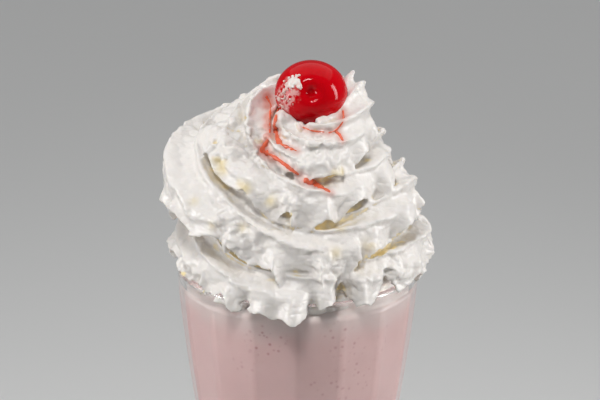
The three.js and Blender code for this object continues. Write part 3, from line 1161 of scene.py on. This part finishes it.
def froth_graph():
    """Puts a squashed blob of random size on each point."""
    inputs = {"Geometry": "Geometry", "Blob": "Float", "Seed": "Int", "Material": "Material"}
    graph, keys, given = new_shape_graph("froth_blobs", inputs)
    ball = graph.node("GeometryNodeMeshIcoSphere", None, {"Radius": given["Blob"], "Subdivisions": 2})
    size = graph.node(
        "FunctionNodeRandomValue",
        {"data_type": "FLOAT_VECTOR"},
        {"Min": (0.4, 0.4, 0.4), "Max": (1.5, 1.5, 1.3), "Seed": given["Seed"]},
    )
    blobs = graph.node(
        "GeometryNodeInstanceOnPoints",
        None,
        {"Points": given["Geometry"], "Instance": ball, "Scale": size},
    )
    end_shape_graph(graph, blobs, given["Material"])
    return graph, keys


def froth_points():
    """Points of the cherry's skin that the froth sits on."""
    random = np.random.default_rng(11)
    points = []
    for x, y, spread, number in FROTH_SPOTS:
        for right, down in random.normal(size=(number, 2)) * spread:
            hit = CHERRY_SKIN.ray_cast(VIEWPOINT, sight_line(x + right, y + down))[0]
            if hit is not None:
                points.append(hit)
    return points


def film_amounts():
    """How much thin cream lies on each point of the cherry."""
    places = np.array([vertex.co[:] for vertex in cherry.data.vertices])
    amounts = np.zeros(len(places))
    for x, y, reach in FILM_SPOTS:
        hit = CHERRY_SKIN.ray_cast(VIEWPOINT, sight_line(x, y))[0]
        apart = np.linalg.norm(places - np.array(hit), axis=1)
        amounts += np.exp(-((apart / (reach / 600 * FRAME_WIDTH)) ** 2))
    return np.minimum(amounts, 1.0)


CHERRY_SKIN = surface_tree(cherry.data)
fill_attribute(cherry.data, "film", film_amounts())

mesh = bpy.data.meshes.new("froth_points")
mesh.from_pydata(froth_points(), [], [])
spots = place("froth_points", mesh, smooth=False)
FROTH, FROTH_KEYS = froth_graph()
froth_values = {"Blob": FROTH_BLOB, "Seed": 4, "Material": WHIPPED}
loose = place("froth_loose", grow(spots, FROTH, FROTH_KEYS, froth_values))
discard(spots)
remesh = loose.modifiers.new("remesh", "REMESH")
remesh.mode = "VOXEL"
remesh.voxel_size = FROTH_VOXEL
soften = loose.modifiers.new("soften", "SMOOTH")
soften.factor = 0.5
soften.iterations = 3
froth = place("cherry_froth", baked_mesh(loose))
discard(loose)
paint(froth.data, WHIPPED)
thickest = CHERRY_SKIN.ray_cast(VIEWPOINT, sight_line(*FROTH_THICKEST))[0]
stains = []
for vertex in froth.data.vertices:
    apart = (vertex.co - thickest).length
    thinness = 1 - math.exp(-((apart / FROTH_THICK_REACH) ** 2))
    stains.append(FROTH_STAIN * thinness + 0.5 * noise.noise(vertex.co / FROTH_PATCH))
fill_attribute(froth.data, "syrup", np.clip(stains, 0, 0.7))
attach(froth, "root")


# Cherry syrup
# Thin red syrup that ran off the cherry and down the front of the cream in beads. Geometry Nodes
# draw each bead out along its run, half sunk in the cream, which it stains beside it.

RUNS = [
    # on the photo's frame: pixels right and down, and the bead's radius in millimetres
    [[266, 96, 0.4], [271, 105, 0.35], [270, 112, 0.3], [270, 124, 0.3], [269, 138, 0.35],
     [262, 150, 1.1], [269, 154, 0.8], [283, 163, 0.6], [292, 170, 0.7], [299, 175, 0.6]],
    [[279, 108, 0.5], [275, 122, 0.75], [276, 133, 0.7], [280, 143, 0.8], [287, 147, 0.6], [297, 151, 0.4]],
    [[304, 180, 1.0], [311, 182, 1.6], [318, 186, 1.2], [331, 192, 0.6]],
    [[343, 110, 0.3], [343, 121, 0.4], [336, 130, 0.4], [328, 133, 0.25]],
    [[335, 131, 0.4], [340, 135, 0.5], [343, 141, 0.4]],
    [[302, 127, 0.2], [313, 131, 0.3], [325, 132, 0.25]],
]
SYRUP_STEPS = 8
SYRUP_SINK = 0.45
SYRUP_UNEVEN = 0.7
SYRUP_PATCH = 1.4 * MM
SYRUP_RED = (0.79, 0.16, 0.08, 1)
STAIN_SPOTS = [
    # thin syrup on the cream, on the photo's frame: pixels right and down, reach in pixels, strength
    [268, 98, 6, 0.8],
    [267, 107, 6, 0.85],
    [267, 116, 6, 0.85],
    [267, 125, 6, 0.8],
    [266, 135, 6, 0.6],
    [263, 148, 7, 0.5],
    [270, 156, 7, 0.5],
    [311, 184, 9, 0.4],
    [340, 117, 6, 0.4],
]
PAINTED_LIGHT_SPOTS = [
    # hollows given painted yellow light, as if light soaked through them, by the same four numbers
    [343, 172, 5, 1.0],
    [334, 174, 5, 0.8],
    [333, 228, 5, 1.0],
    [324, 224, 6, 0.7],
    [341, 229, 5, 0.6],
    [245, 188, 6, 1.0],
    [239, 183, 4, 0.6],
    [222, 170, 6, 0.9],
    [222, 160, 6, 0.9],
    [215, 159, 5, 0.6],
    [270, 201, 6, 0.8],
    [243, 228, 5, 0.6],
    [370, 245, 7, 0.6],
    [194, 201, 5, 0.5],
    [212, 225, 5, 0.5],
    [336, 253, 6, 0.6],
]


def spot_amounts(places, skin, spots):
    """How much of what the spots give lies on each place of a skin."""
    amounts = np.zeros(len(places))
    for x, y, reach, strength in spots:
        hit = skin.ray_cast(VIEWPOINT, sight_line(x, y))[0]
        apart = np.linalg.norm(places - np.array(hit), axis=1)
        amounts += strength * np.exp(-((apart / (reach / 600 * FRAME_WIDTH)) ** 2))
    return amounts


def syrup_stain():
    """How much syrup soaked into each point of the cream."""
    apart = np.array([run_points.find(place_at)[2] for place_at in CREAM_PLACES])
    amounts = 0.6 * np.exp(-((apart / STAIN_REACH) ** 2))
    return np.minimum(amounts + spot_amounts(CREAM_PLACES, CREAM_SKIN, STAIN_SPOTS), 0.85)


def syrup_graph():
    """Draws a round bead along each run, as thick as the run's width there."""
    graph, keys, given = new_shape_graph("syrup_runs", {"Geometry": "Geometry", "Material": "Material"})
    ring = graph.node("GeometryNodeCurvePrimitiveCircle", None, {"Resolution": 12, "Radius": 1.0})
    width = graph.node("GeometryNodeInputRadius")
    bead = graph.node(
        "GeometryNodeCurveToMesh",
        None,
        {"Curve": given["Geometry"], "Profile Curve": ring, "Scale": width, "Fill Caps": True},
    )
    end_shape_graph(graph, bead, given["Material"])
    return graph, keys


def syrup_points(run):
    """A run's points on the cream, with the bead's radius at each."""
    steps = np.linspace(0, len(run) - 1, (len(run) - 1) * SYRUP_STEPS + 1)
    points = []
    radii = []
    for x, y, radius in spline_rows(run, steps):
        hit, normal = CREAM_SKIN.ray_cast(VIEWPOINT, sight_line(x, y))[:2]
        if hit is not None:
            radius *= MM * (1 + SYRUP_UNEVEN * noise.noise(hit / SYRUP_PATCH))
            points.append(hit - normal * radius * SYRUP_SINK)
            radii.append(radius)
    points = np.array(points)
    smooth = points.copy()
    for _ in range(3):
        smooth[1:-1] = (smooth[:-2] + 2 * smooth[1:-1] + smooth[2:]) / 4
    radii = np.array(radii)
    radii[[0, -1]] *= 0.3
    return smooth, radii


def syrup_red():
    material, graph = new_material("syrup_red")
    shader = graph.node(
        "ShaderNodeBsdfPrincipled",
        None,
        {
            "Base Color": SYRUP_RED,
            "Roughness": 0.12,
            "Subsurface Weight": 0.4,
            "Subsurface Radius": (1.0, 0.3, 0.2),
            "Subsurface Scale": 1.0 * MM,
        },
    )
    close_material(graph, shader)
    return material


CREAM_SKIN = surface_tree(cream.data)
SYRUP_PAINT = syrup_red()
SYRUP, SYRUP_KEYS = syrup_graph()
beads = []
run_points = kdtree.KDTree(sum((len(run) - 1) * SYRUP_STEPS + 1 for run in RUNS))
for number, run in enumerate(RUNS):
    points, radii = syrup_points(run)
    for point in points:
        run_points.insert(point, 0)
    path = path_object("syrup_path", points, radii)
    beads.append(place(f"syrup_bead_{number}", grow(path, SYRUP, SYRUP_KEYS, {"Material": SYRUP_PAINT})))
    discard(path)
run_points.balance()
syrup = joined("cherry_syrup", beads)
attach(syrup, "root")
CREAM_PLACES = np.array([vertex.co[:] for vertex in cream.data.vertices])
# painted light at the given hollows
warmth = np.minimum(spot_amounts(CREAM_PLACES, CREAM_SKIN, PAINTED_LIGHT_SPOTS), 1.0)
fill_attribute(cream.data, "syrup", syrup_stain())
fill_attribute(cream.data, "warmth", warmth)
# how shut in each point is, which steers the cream's painted shade and painted light
fill_attribute(cream.data, "crease", crease_depths(cream.data, CREAM_SKIN))


# Studio
# A plain pale floor, soft light from both sides and from above, and a camera that
# looks down on the glass from the front.

FLOOR_SIZE = 8.0
FLOOR_GREY = (0.74, 0.74, 0.73, 1)
SENSOR = 36.0


def floor_paint():
    material, graph = new_material("pale_floor")
    grain = graph.node(
        "ShaderNodeTexNoise", None, {"Vector": object_place(graph), "Scale": 60.0, "Detail": 3.0}
    )
    shader = graph.node(
        "ShaderNodeBsdfPrincipled",
        None,
        {"Base Color": FLOOR_GREY, "Roughness": 0.55 + 0.1 * grain},
    )
    close_material(graph, shader)
    return material


floor_mesh = bpy.data.meshes.new("floor")
half = FLOOR_SIZE / 2
corners = [(-half, -half, 0), (half, -half, 0), (half, half, 0), (-half, half, 0)]
floor_mesh.from_pydata(corners, [], [(0, 1, 2, 3)])
floor = place("floor", floor_mesh, smooth=False)
floor.data.materials.append(floor_paint())

world = bpy.data.worlds.new("studio")
bpy.context.scene.world = world
world.use_nodes = True
world.node_tree.nodes["Background"].inputs["Color"].default_value = (0.8, 0.82, 0.85, 1)
world.node_tree.nodes["Background"].inputs["Strength"].default_value = 0.15
bpy.context.scene.view_settings.view_transform = "Standard"


def soft_light(name, where, aim, size, power, spread=math.pi):
    lamp = bpy.data.lights.new(name, "AREA")
    lamp.shape = "RECTANGLE"
    lamp.size, lamp.size_y = size
    lamp.energy = power
    lamp.spread = spread
    light = bpy.data.objects.new(name, lamp)
    light.location = where
    light.rotation_euler = (Vector(aim) - Vector(where)).to_track_quat("-Z", "Y").to_euler()
    bpy.context.scene.collection.objects.link(light)


TARGET = (0, 0, 0.19)
SIDE_SPREAD = math.radians(90)
soft_light("left_box", (-0.74, -0.16, 0.38), TARGET, (0.16, 0.45), 0.73, SIDE_SPREAD)
soft_light("right_box", (0.76, -0.07, 0.37), TARGET, (0.14, 0.6), 1.02, SIDE_SPREAD)
soft_light("top_box", (-0.08, -0.42, 0.81), TARGET, (0.18, 0.18), 2.8)
soft_light("floor_box", (0, 1.3, 1.6), (0, 1.3, 0), (3.0, 2.4), 15)

camera = bpy.data.cameras.new("camera")
camera.sensor_width = SENSOR
camera.lens = SENSOR * VIEW_DISTANCE / FRAME_WIDTH
eye = bpy.data.objects.new("camera", camera)
eye.location = VIEWPOINT
turn = (-VIEW_BACK).to_track_quat("-Z", "Y")
turn.rotate(Quaternion(VIEW_BACK, CAMERA_ROLL))
eye.rotation_euler = turn.to_euler()
bpy.context.scene.collection.objects.link(eye)
bpy.context.scene.camera = eye
